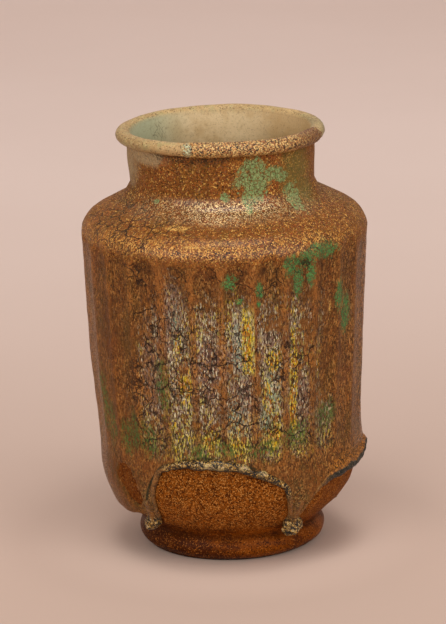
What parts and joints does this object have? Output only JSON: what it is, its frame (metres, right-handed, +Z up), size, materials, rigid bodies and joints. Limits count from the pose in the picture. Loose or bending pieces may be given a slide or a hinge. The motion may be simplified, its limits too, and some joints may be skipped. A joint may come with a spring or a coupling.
{
  "type": "glazed jar",
  "caption": "Tall jar with a round lip, short neck, sloping shoulder, upright fluted wall and ring foot, under weathered glaze that ends above the foot in scallops with runs and hanging drops.",
  "frame": {"origin": "centre of the ring foot on the surface the jar stands on", "axes": "+Z up the jar's axis, -Y to the side seen in the picture, +X to the right of it"},
  "size_m": [0.1361, 0.136, 0.2026],
  "materials": {
    "stonepaste": "bare granular fired body, golden brown",
    "slip": "thin layer of fired slip in each joint",
    "outer_glaze": "weathered brown glaze with green remains and iridescent flecks",
    "inner_glaze": "pale dull glaze lining",
    "rim_glaze": "pale worn glaze on the lip",
    "crust": "orange-brown speckled crust of weathered glaze",
    "thick_glaze": "thick glassy glaze, dark with pale glints"
  },
  "bodies": {
    "root": {"fluted_wall": "stonepaste", "foot_ring": "stonepaste", "foot_slip": "slip", "glaze_drop_1": "thick_glaze", "glaze_drop_2": "thick_glaze", "glaze_drop_3": "thick_glaze", "glaze_drop_4": "thick_glaze", "glaze_drop_5": "thick_glaze", "glaze_hem": "thick_glaze", "glaze_run_1": "thick_glaze", "glaze_run_2": "thick_glaze", "glaze_run_3": "thick_glaze", "glaze_run_4": "thick_glaze", "glaze_run_5": "thick_glaze", "inner_glaze": "inner_glaze", "lower_body": "stonepaste", "neck": "stonepaste", "neck_slip": "slip", "outer_glaze": "outer_glaze", "rim_crust": "crust", "rim_glaze": "rim_glaze", "rim_roll": "stonepaste", "rim_slip": "slip", "shoulder": "stonepaste", "shoulder_slip": "slip", "wall_slip": "slip"}
  },
  "joints": []
}
